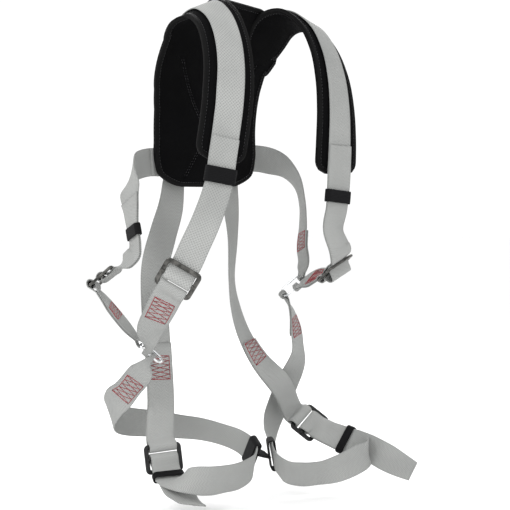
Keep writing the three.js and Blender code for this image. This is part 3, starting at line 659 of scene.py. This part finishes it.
def cloth_look(name, dark, light, thread):
    """A plain woven cloth over foam, faintly creased, its colour darkened between the threads and in the
    creases as painted shade.
    """
    look = Look(name)
    split = look.add("ShaderNodeSeparateXYZ")
    look.feed(look.place(), split.inputs[0])
    x, y, z = split.outputs
    one = look.wave(look.math("ADD", x, look.math("MULTIPLY", y, 0.7)), thread)
    other = look.wave(look.math("SUBTRACT", z, look.math("MULTIPLY", y, 0.5)), thread)
    weave = look.math("MULTIPLY", one, other)
    crease = look.noise(34.0, 4.0)
    # colour darker between the threads and in the creases: painted shade
    shade = look.math("MULTIPLY", look.ramp(weave, 0.4, 1.0), look.ramp(crease, 0.5, 1.0, 0.3, 0.7))
    look.colour(shade, dark, light)
    look.bump(look.math("MULTIPLY_ADD", crease, 2.2, look.math("MULTIPLY", weave, 0.5)), 0.0007, 0.8)
    look.set(Roughness=0.9, Specular_IOR_Level=0.08)
    return look.material


def ribbed_look(name, dark, light, rib):
    """Black tape or elastic with fine ribs along it, its colour darkened between the ribs as painted shade.
    """
    look = Look(name)
    across, along = look.across_along()
    ribs = look.wave(across, rib)
    crossed = look.wave(along, rib * 0.8)
    height = look.math("MULTIPLY_ADD", ribs, 0.7, look.math("MULTIPLY", crossed, 0.3))
    worn = look.ramp(look.noise(60.0, 4.0), 0.6, 1.0, 0.3, 0.7)
    # colour darker between the ribs: painted shade; the worn noise is random tone
    look.colour(look.math("MULTIPLY", look.ramp(height, 0.2, 1.0), worn), dark, light)
    look.bump(height, 0.0005)
    look.set(Roughness=0.7, Specular_IOR_Level=0.12)
    return look.material


def metal_look(name, dark, light, rough_low, rough_high, metallic, worn=0.0):
    """Metal with fine scratches, uneven polish and a coating worn in places."""
    look = Look(name)
    cloud = look.noise(120.0, 6.0)
    scratch = look.noise(1400.0, 2.0)
    look.colour(look.ramp(cloud, 0.0, 1.0, 0.35, 0.65 + worn), dark, light)
    uneven = look.math("MULTIPLY_ADD", scratch, 0.4, look.math("MULTIPLY", cloud, 0.6))
    look.feed(look.ramp(uneven, rough_low, rough_high, 0.3, 0.7), look.shader.inputs["Roughness"])
    look.bump(scratch, 0.00002, 0.3)
    look.set(Metallic=metallic)
    return look.material


def thread_look(name, dark, light):
    look = Look(name)
    across, along = look.across_along()
    twist = look.wave(look.math("ADD", along, across), 0.0011)
    # colour darker in the grooves of the twist: painted shade; the noise is random tone
    shade = look.math("MULTIPLY", look.ramp(twist, 0.5, 1.0), look.ramp(look.noise(300.0), 0.7, 1.0))
    look.colour(shade, dark, light)
    look.bump(twist, 0.0002)
    look.set(Roughness=0.55, Sheen_Weight=0.1)
    return look.material


WEBBING = webbing_look("webbing", 0x686A69, 0xB4B5B3, 0.0023)
DIAMOND_WEBBING = webbing_look("webbing_diamond", 0x666867, 0xB8B9B7, 0.0023, 0.0052)
BLACK_WEBBING = webbing_look("black_webbing", 0x040405, 0x131315, 0.0021)
COVER = cloth_look("pad_cover", 0x020203, 0x0B0B0C, 0.0019)
BINDING = ribbed_look("binding", 0x030303, 0x0C0C0D, 0.0016)
ELASTIC = ribbed_look("elastic", 0x050506, 0x151517, 0.0024)
GUNMETAL = metal_look("gunmetal", 0x3A3A38, 0x686764, 0.3, 0.42, 0.9)
BLACK_STEEL = metal_look("black_steel", 0x060607, 0x1A1B1D, 0.32, 0.5, 0.3, 0.2)
POLISHED = metal_look("polished_steel", 0xC9CBCD, 0xECEDEE, 0.08, 0.2, 1.0)
RED_THREAD = thread_look("red_thread", 0x6E0A18, 0xA81E2C)
BLACK_THREAD = thread_look("black_thread", 0x1A1A1C, 0x3C3C40)


# ---- Meshes ----
def ring_mesh(name, rings, across, material, closed=False):
    """Joins rings of points, each a closed loop, into a skin. across is each loop point's place in metres."""
    count = len(rings[0])
    total = len(rings)
    along = [0.0]
    for a, b in zip(rings, rings[1:]):
        along.append(along[-1] + (sum(b, Vector()) - sum(a, Vector())).length / count)
    along.append(along[-1] + (sum(rings[0], Vector()) - sum(rings[-1], Vector())).length / count)
    faces = []
    places = []
    for i in range(total if closed else total - 1):
        for k in range(count):
            m = (k + 1) % count
            j = (i + 1) % total
            faces.append((i * count + k, i * count + m, j * count + m, j * count + k))
            places += [(across[k], along[i]), (across[m], along[i])]
            places += [(across[m], along[i + 1]), (across[k], along[i + 1])]
    if not closed:
        faces.append(tuple(range(count))[::-1])
        places += [(across[k], along[0]) for k in range(count)][::-1]
        faces.append(tuple((total - 1) * count + k for k in range(count)))
        places += [(across[k], along[-2]) for k in range(count)]
    return finish_mesh(name, [p for ring in rings for p in ring], faces, places, material)


def finish_mesh(name, verts, faces, places, material):
    mesh = bpy.data.meshes.new(name)
    mesh.from_pydata([tuple(v) for v in verts], [], faces)
    layer = mesh.uv_layers.new(name="UVMap")
    layer.data.foreach_set("uv", [x for place in places for x in place])
    mesh.polygons.foreach_set("use_smooth", [True] * len(mesh.polygons))
    mesh.materials.append(material)
    mesh.update()
    made = bpy.data.objects.new(name, mesh)
    bpy.context.scene.collection.objects.link(made)
    return made


def put(piece, nodes, body="root"):
    """Fixes a finished piece to its CAD body and has it stand for CAD nodes."""
    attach(piece, body)
    if nodes:
        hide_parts(*nodes)
    return piece


def selvedged(half, thick):
    """The outline of webbing cut across: flat faces and rounded selvedges."""
    edge = min(0.0012, half * 0.3)
    flat = [(-1 + k / 3) * (half - edge) for k in range(7)]
    side = [(half - 0.3 * edge, 0.36 * thick), (half, 0.0), (half - 0.3 * edge, -0.36 * thick)]
    top = [(x, thick / 2) for x in flat]
    bottom = [(-x, -thick / 2) for x in flat]
    return [*top, *side, *bottom, *[(-x, -y) for x, y in side]]


def web_piece(name, points, material, closed=False, thick=WEB_THICK):
    rings = []
    for p in dress(points, closed):
        rings.append([p.c + p.w * x + p.n * y for x, y in selvedged(p.width / 2, thick)])
    across = [x for x, _ in selvedged(WEB_WIDTH / 2, thick)]
    return ring_mesh(name, rings, across, material, closed)


# ---- Webbing ----
for strap_piece, strap_node, strap_points, strap_look in (
    ("right_shoulder", "right_shoulder_strap", fold_back(right_shoulder, 0.225), DIAMOND_WEBBING),
    ("left_shoulder", "left_shoulder_strap", fold_back(left_shoulder, 0.215, 1, 0.011, 1), WEBBING),
    ("back_band", "back_band", band, WEBBING),
    ("right_side", "right_side_strap", fold_back(right_side, 0.15), WEBBING),
    ("left_side", "left_side_strap", fold_back(left_side, 0.08, 1, EYE_RADIUS, 1), WEBBING),
    ("right_back", "right_back_strap", fold_back(right_back, 0.16), WEBBING),
    ("left_back", "left_back_strap", fold_back(left_back, 0.17), WEBBING),
    ("right_leg", "right_leg_strap", fold_back(looped(right_leg, 0.075), 0.035, -1), WEBBING),
    ("left_leg", "left_leg_strap", fold_back(looped(left_leg, 0.075), 0.067, -1), WEBBING),
):
    put(web_piece(strap_piece + "_webbing", strap_points, strap_look), [strap_node])
for tail_side, tail_route in (("right", right_tail), ("left", left_tail)):
    tail_node = tail_side + "_leg_tail"
    put(web_piece(tail_side + "_tail_webbing", tail_route, WEBBING), [tail_node], tail_node)
for tie_name, tie_route in (
    ("right_shoulder_tie", right_shoulder_tie),
    ("left_shoulder_tie", left_shoulder_tie),
    ("right_side_tie", right_side_tie),
):
    ring = sewn_ring(tie_route, FOLD_RADIUS, EYE_RADIUS)
    put(web_piece(tie_name + "_webbing", ring, WEBBING, closed=True), [tie_name])


# ---- Thread ----
def tube(line, radius, verts, faces, places):
    """Adds a thin round thread along a line of points to the lists of a mesh."""
    sides = 6
    base = len(verts)
    run = 0.0
    for i, p in enumerate(line):
        t = (line[min(i + 1, len(line) - 1)] - line[max(i - 1, 0)]).normalized()
        a = t.orthogonal().normalized()
        b = t.cross(a)
        run += (p - line[i - 1]).length if i else 0.0
        for k in range(sides):
            angle = 2 * math.pi * k / sides
            verts.append(p + a * radius * math.cos(angle) + b * radius * math.sin(angle))
        if i:
            for k in range(sides):
                m = (k + 1) % sides
                low = base + (i - 1) * sides
                faces.append((low + k, low + m, low + sides + m, low + sides + k))
                places += [(k * radius, run), (m * radius, run), (m * radius, run), (k * radius, run)]
    for first, turn in ((base, -1), (base + (len(line) - 1) * sides, 1)):
        faces.append(tuple(first + k for k in range(sides))[::turn])
        places += [(0.0, run)] * sides


def nearest(route, at):
    return min(route, key=lambda p: (p.c - Vector(at)).length)


def dashes(line, dash, gap, radius, verts, faces, places):
    """Running stitches along a line: the part of each stitch that shows."""
    piece = []
    run = 0.0
    for a, b in zip(line, line[1:]):
        count = max(1, round((b - a).length / 0.0008))
        for k in range(count):
            p = a.lerp(b, k / count)
            run += (b - a).length / count
            if run % (dash + gap) < dash:
                piece.append(p)
            elif len(piece) > 1:
                tube([piece[0], piece[len(piece) // 2], piece[-1]], radius, verts, faces, places)
                piece = []
            else:
                piece = []


def bar_tack(name, route, start, end, lift, side):
    """Rows of thread sewn through a strap: a box filled with crossing zigzags."""
    all_points = dress(route)
    ends = sorted(all_points.index(nearest(all_points, p)) for p in (start, end))
    part = all_points[ends[0]:ends[1] + 1]

    def at(u, v):
        x = min(max(v, 0.0), 1.0) * (len(part) - 1)
        i = min(int(x), len(part) - 2)
        a = part[i]
        b = part[i + 1]
        f = x - i
        c = a.c.lerp(b.c, f) + a.n.lerp(b.n, f) * side * lift
        return c + a.w.lerp(b.w, f) * u * TACK_WIDTH

    def line(corners):
        made = []
        for (u0, v0), (u1, v1) in zip(corners, corners[1:]):
            count = 12
            made += [at(u0 + (u1 - u0) * k / count, v0 + (v1 - v0) * k / count) for k in range(count)]
        return [*made, at(*corners[-1])]

    verts, faces, places = [], [], []
    box_corners = [(-0.5, 0), (0.5, 0), (0.5, 1), (-0.5, 1), (-0.5, 0)]
    tube(line(box_corners), THREAD * 1.25, verts, faces, places)
    for way in (1, -1):
        zigzag = [(way * 0.48 * (1 if k % 2 else -1), 0.02 + 0.96 * k / 5) for k in range(6)]
        tube(line(zigzag), THREAD, verts, faces, places)
    tack = finish_mesh(name + "_thread", verts, faces, places, RED_THREAD)
    put(tack, [name])


ON_RING = LAYER_STEP / 2 + TACK_LIFT
ON_FOLD = LAYER_STEP + TACK_LIFT
for tack_name, tack_route, tack_from, tack_to, tack_lift, tack_side in (
    ("right_shoulder", right_shoulder_tie, (-0.181, -0.036, -0.436), (-0.185, -0.016, -0.463), ON_RING, 1),
    ("left_shoulder", left_shoulder_tie, (0.122, -0.06, -0.406), (0.123, -0.036, -0.412), ON_RING, -1),
    ("right_side", right_side_tie, (-0.217, 0.059, -0.444), (-0.204, 0.051, -0.465), ON_RING, 1),
    ("right_back", right_back, (-0.12, 0.06, -0.528), (-0.124, 0.052, -0.562), ON_FOLD, 1),
    ("left_back", left_back, (0.076, 0.071, -0.519), (0.091, 0.057, -0.553), ON_FOLD, 1),
    ("right_leg", right_leg, (-0.189, 0.032, -0.562), (-0.2, 0.052, -0.588), TACK_LIFT, 1),
    ("left_leg", left_leg, (0.145, 0.029, -0.48), (0.152, 0.028, -0.511), TACK_LIFT, 1),
    ("left_side", left_side, (0.153, 0.016, -0.336), (0.147, 0.014, -0.368), TACK_LIFT, -1),
):
    bar_tack(tack_name + "_tack", tack_route, tack_from, tack_to, tack_lift, tack_side)


# ---- Yoke ----
def rounded_end(width, distance, radius):
    """The width of a pad this far from its rounded end."""
    if distance >= radius:
        return width
    left = radius - max(distance, 0.0)
    return width - 2 * (radius - math.sqrt(max(radius * radius - left * left, 0.0)))


def trimmed(points, first_radius, last_radius):
    """Rounds the corners at the ends of a pad."""
    run = [0.0]
    for a, b in zip(points, points[1:]):
        run.append(run[-1] + (b.c - a.c).length)
    made = []
    for p, s in zip(points, run):
        width = p.width
        if first_radius:
            width = min(width, rounded_end(p.width, s, first_radius))
        if last_radius:
            width = min(width, rounded_end(p.width, run[-1] - s, last_radius))
        made.append(Point(p.c, p.w, max(width, 0.02)))
    return made


def seam_depth(seams, x, z):
    """How far a sewn channel pulls the pad in at this place."""
    depth = 0.0
    for (x0, z0), (x1, z1) in seams:
        f = ((x - x0) * (x1 - x0) + (z - z0) * (z1 - z0)) / ((x1 - x0) ** 2 + (z1 - z0) ** 2)
        f = min(max(f, 0.0), 1.0)
        away = math.hypot(x - x0 - f * (x1 - x0), z - z0 - f * (z1 - z0))
        depth = max(depth, math.exp(-((away / SEAM_WIDTH) ** 2)))
    return depth * SEAM_DEPTH


def pad_piece(name, points, material, seams=(), thick=PAD_MIDDLE, columns=36):
    """A foam pad, fullest in the middle and pressed flat at its bound edges."""
    rings = []
    total = len(points) - 1
    for i, p in enumerate(dress(points)):
        fall = smooth(min(i, total - i), 0, 3)
        loop = []
        for face in (1, -1):
            for k in range(columns + 1):
                x = (-1 + 2 * k / columns) * face
                swell = 1 - abs(x) ** 3.2
                lift = PAD_EDGE + (thick - PAD_EDGE) * swell * (0.35 + 0.65 * fall)
                c = p.c + p.w * x * p.width / 2
                lift -= seam_depth(seams, c.x, c.z) * swell
                loop.append(c + p.n * face * lift)
        rings.append(loop)
    across = [(-1 + 2 * k / columns) * face * 0.1 for face in (1, -1) for k in range(columns + 1)]
    return ring_mesh(name, rings, across, material)


def bound_edge(name, points, start_open, end_open, nodes):
    """Tape folded over a pad's edge, with a row of stitches along each face."""
    route = dress(points)
    edges = {}
    for side in (-1, 1):
        edges[side] = [(p.c + p.w * side * p.width / 2, p.w * side, p.n) for p in route]
    rim = edges[-1][:]
    if not end_open:
        last = route[-1]
        rim += [(last.c + last.w * k * last.width / 2, last.t, last.n) for k in (-0.6, 0.0, 0.6)]
    rim += edges[1][::-1]
    if not start_open:
        first = route[0]
        rim += [(first.c + first.w * k * first.width / 2, -first.t, first.n) for k in (0.6, 0.0, -0.6)]
    closed = not start_open and not end_open
    runs = [rim]
    if start_open and end_open:
        runs = [edges[-1], edges[1]]
    verts, faces, places = [], [], []
    for number, run in enumerate(runs):
        rings = []
        lines = {1: [], -1: []}
        count = len(run)
        for i, (c, _, n) in enumerate(run):
            before = run[(i - 1) % count if closed else max(i - 1, 0)][0]
            after = run[(i + 1) % count if closed else min(i + 1, count - 1)][0]
            t = (after - before).normalized()
            out = t.cross(n).normalized()
            if out.dot(run[i][1]) < 0:
                out = -out
            loop = []
            for k in range(16):
                angle = 2 * math.pi * k / 16
                x = math.copysign(abs(math.cos(angle)) ** 0.6, math.cos(angle)) * TAPE_DEEP
                y = math.copysign(abs(math.sin(angle)) ** 0.6, math.sin(angle)) * TAPE_THICK
                loop.append(c + out * (x + TAPE_OUT) + n * y)
            rings.append(loop)
            for face in (1, -1):
                lines[face].append(c - out * 0.0012 + n * face * (TAPE_THICK + 0.0001))
        across = [0.0011 * k for k in range(16)]
        title = name if number == 0 else name + "_other"
        put(ring_mesh(title, rings, across, BINDING, closed), nodes if number == 0 else [])
        for face in (1, -1):
            dashes(lines[face], *TAPE_STITCH, STITCH_THREAD, verts, faces, places)
    put(finish_mesh(name + "_stitches", verts, faces, places, BLACK_THREAD), [])


PANEL_SEAMS = [
    ((-0.088, -0.045), (0.050, -0.250)),
    ((0.088, -0.045), (-0.050, -0.250)),
]
panel_points = trimmed(sample(PANEL_STATIONS, 72), PANEL_CORNER, 0)
panel = pad_piece("back_panel", panel_points, COVER, PANEL_SEAMS, columns=60)
put(panel, ["back_panel_foam", "back_panel_cover", "back_panel_lining"])
bound_edge("panel_tape", panel_points, False, True, ["back_panel_binding"])

neck_points = trimmed(sample(NECK_STATIONS, 48), 0, NECK_CORNER)
neck = pad_piece("neck_pad", neck_points, COVER, thick=PAD_MIDDLE - 0.0004, columns=30)
put(neck, ["neck_pad_foam", "neck_pad_cover", "neck_pad_lining"])
bound_edge("neck_tape", neck_points, True, False, ["neck_binding"])

for pad_side, pad_stations, root_x in (
    ("right", RIGHT_PAD_STATIONS, -0.077),
    ("left", LEFT_PAD_STATIONS, 0.079),
):
    root = (root_x, 0.0532, -0.0585, -1, 0, 0, 0.05)
    wide = [(*s, PAD_WIDTH + PAD_FLARE * (i < 2)) for i, s in enumerate(pad_stations)]
    pad_points = trimmed(sample([root, *wide], 100, PAD_WIDTH), 0, PAD_CORNER)
    pad = pad_piece(pad_side + "_shoulder_pad", pad_points, COVER, thick=PAD_MIDDLE + 0.0002, columns=28)
    pad_nodes = [f"{pad_side}_shoulder_pad_{part}" for part in ("foam", "cover", "lining")]
    put(pad, pad_nodes)
    past_panel = [p for p in pad_points if p.c.y < PAD_LEAVES_PANEL]
    bound_edge(pad_side + "_pad_tape", past_panel, True, False, [f"{pad_side}_pad_binding"])


def seam_stitches():
    """Stitches along the sewn channels on both faces of the panel."""
    verts, faces, places = [], [], []
    for (x0, z0), (x1, z1) in PANEL_SEAMS:
        for beside in (-0.0022, 0.0022):
            for face in (1, -1):
                line = []
                for k in range(81):
                    z = z0 + (z1 - z0) * k / 80
                    near = min(panel_line, key=lambda p: abs(p.c.z - z))
                    c = Vector((x0 + (x1 - x0) * k / 80 + beside, near.c.y, z))
                    swell = 1 - abs(c.x / (near.width / 2)) ** 3.2
                    lift = PAD_EDGE + (PAD_MIDDLE - PAD_EDGE) * swell - 0.0013 * swell
                    line.append(c + near.n * face * lift)
                dashes(line, *SEAM_STITCH, STITCH_THREAD, verts, faces, places)
    put(finish_mesh("panel_stitches", verts, faces, places, BLACK_THREAD), [])


seam_stitches()


# ---- Keepers and the crotch link ----
def sleeve_piece(name, route, where, length, size, wall, lift, material):
    """A flat sleeve round a strap, its lips slightly flared."""
    p = nearest(dress(route), where)
    width, depth = size
    corner = depth * 0.42
    outline = []
    for cx, cy, start in (
        (width / 2 - corner, depth / 2 - corner, 0),
        (-width / 2 + corner, depth / 2 - corner, 90),
        (-width / 2 + corner, -depth / 2 + corner, 180),
        (width / 2 - corner, -depth / 2 + corner, 270),
    ):
        for k in range(7):
            angle = math.radians(start + 15 * k)
            outline.append((cx, cy, math.cos(angle), math.sin(angle), corner))
    profile = []
    rows = 12
    for k in range(rows + 1):
        s = -0.5 + k / rows
        profile.append((s * length, wall - 0.0004 * (abs(2 * s) ** 6)))
    for k in range(rows + 1):
        profile.append(((0.5 - k / rows) * length, 0.0001))
    rings = []
    for cx, cy, ux, uy, r in outline:
        loop = []
        for s, out in profile:
            x = cx + ux * (r + out)
            y = cy + uy * (r + out)
            loop.append(p.c + p.n * lift + p.w * x + p.n * y + p.t * s)
        rings.append(loop)
    return ring_mesh(name, rings, [s for s, _ in profile], material, closed=True)


for keeper_name, keeper_route, keeper_at, keeper_length, keeper_side, keeper_deep in (
    ("right_shoulder_keeper", right_shoulder, (-0.137, -0.111, -0.25), 0.024, 1, 0.0098),
    ("left_shoulder_keeper", left_shoulder, (0.105, -0.112, -0.28), 0.02, 1, 0.0094),
    ("right_side_keeper", right_side, (-0.19, 0.03, -0.334), 0.018, 1, 0.0082),
    ("right_leg_keeper", right_leg, (-0.148, 0, -0.707), 0.011, -1, 0.0126),
    ("left_leg_keeper", left_leg, (0.184, -0.052, -0.682), 0.013, -1, 0.0112),
):
    keeper = sleeve_piece(
        keeper_name + "_elastic", keeper_route, keeper_at, keeper_length,
        (KEEPER_WIDTH, keeper_deep), KEEPER_WALL, keeper_side * LAYER_STEP / 2, ELASTIC,
    )
    put(keeper, [keeper_name], keeper_name)

right_crotch = nearest(dress(right_leg), (0.011, -0.012, -0.687))
left_crotch = nearest(dress(left_leg), (0.054, -0.017, -0.696))
for crotch_side, crotch_route, crotch_at in (
    ("right", right_leg, right_crotch),
    ("left", left_leg, left_crotch),
):
    loop_piece = sleeve_piece(
        f"crotch_loop_{crotch_side}_webbing", crotch_route, crotch_at.c, CROTCH_LOOP_LENGTH,
        CROTCH_SIZE, CROTCH_WALL, 0, BLACK_WEBBING,
    )
    put(loop_piece, [f"crotch_loop_{crotch_side}"])
reach = CROTCH_SIZE[1] / 2 + CROTCH_WALL + 0.0022
tie_from = right_crotch.c + right_crotch.n * reach
tie_to = left_crotch.c - left_crotch.n * reach
tie_points = []
for tie_step in range(13):
    tie_f = tie_step / 12
    tie_w = right_crotch.t.lerp(left_crotch.t, tie_f).normalized()
    tie_points.append(Point(tie_from.lerp(tie_to, tie_f), tie_w, CROTCH_TIE_WIDTH))
crotch_tie = web_piece("crotch_tie_webbing", tie_points, BLACK_WEBBING, thick=CROTCH_TIE_THICK)
put(crotch_tie, ["crotch_tie"])


# ---- Hardware ----
def dress_metal(node, material, bevel, levels):
    """Gives a CAD node its metal, softened edges and smooth shading."""
    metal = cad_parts[node]
    metal.data.materials.clear()
    metal.data.materials.append(material)
    weld = metal.modifiers.new("weld", "WELD")
    weld.merge_threshold = 0.00002
    if bevel:
        edge = metal.modifiers.new("bevel", "BEVEL")
        edge.width = bevel
        edge.segments = 2
        edge.limit_method = "ANGLE"
        edge.angle_limit = math.radians(25)
        edge.harden_normals = True
    if levels:
        soft = metal.modifiers.new("soft", "SUBSURF")
        soft.levels = levels
        soft.render_levels = levels
    metal.data.polygons.foreach_set("use_smooth", [True] * len(metal.data.polygons))


for buckle in SEATS:
    finish_of_buckle = BLACK_STEEL if buckle.endswith("leg") else GUNMETAL
    dress_metal(buckle + "_buckle_frame", finish_of_buckle, 0.0003, 0)
    dress_metal(buckle + "_buckle_bar", finish_of_buckle, 0.0002, 0)
dress_metal("right_hip_link", POLISHED, 0, 1)
dress_metal("left_hip_link", POLISHED, 0, 1)


# ---- Floor and light ----
def add_floor():
    bpy.ops.mesh.primitive_plane_add(size=30, location=(0, 0, FLOOR_Z))
    floor = bpy.context.object
    floor.name = "floor"
    look = Look("floor")
    look.shader.inputs["Base Color"].default_value = (0.95, 0.95, 0.95, 1)
    look.shader.inputs["Roughness"].default_value = 0.9
    floor.data.materials.append(look.material)


def add_area(name, at, towards, size, power):
    data = bpy.data.lights.new(name, "AREA")
    data.size = size
    data.energy = power
    light = bpy.data.objects.new(name, data)
    bpy.context.scene.collection.objects.link(light)
    light.location = at
    light.rotation_mode = "QUATERNION"
    light.rotation_quaternion = (Vector(towards) - Vector(at)).to_track_quat("-Z", "Y")


add_floor()
MIDDLE = (0, 0, -0.37)
add_area("key", (-2.4, -0.6, 1.5), MIDDLE, 1.2, 34)
add_area("front", (-0.4, -2.6, 0.3), MIDDLE, 1.6, 6)
add_area("rim", (1.6, 1.8, 1.2), MIDDLE, 1.4, 40)
world = bpy.data.worlds.new("world")
world.use_nodes = True
world.node_tree.nodes["Background"].inputs[0].default_value = (1, 1, 1, 1)
world.node_tree.nodes["Background"].inputs[1].default_value = 1.06
bpy.context.scene.world = world
bpy.context.scene.view_settings.view_transform = "Standard"
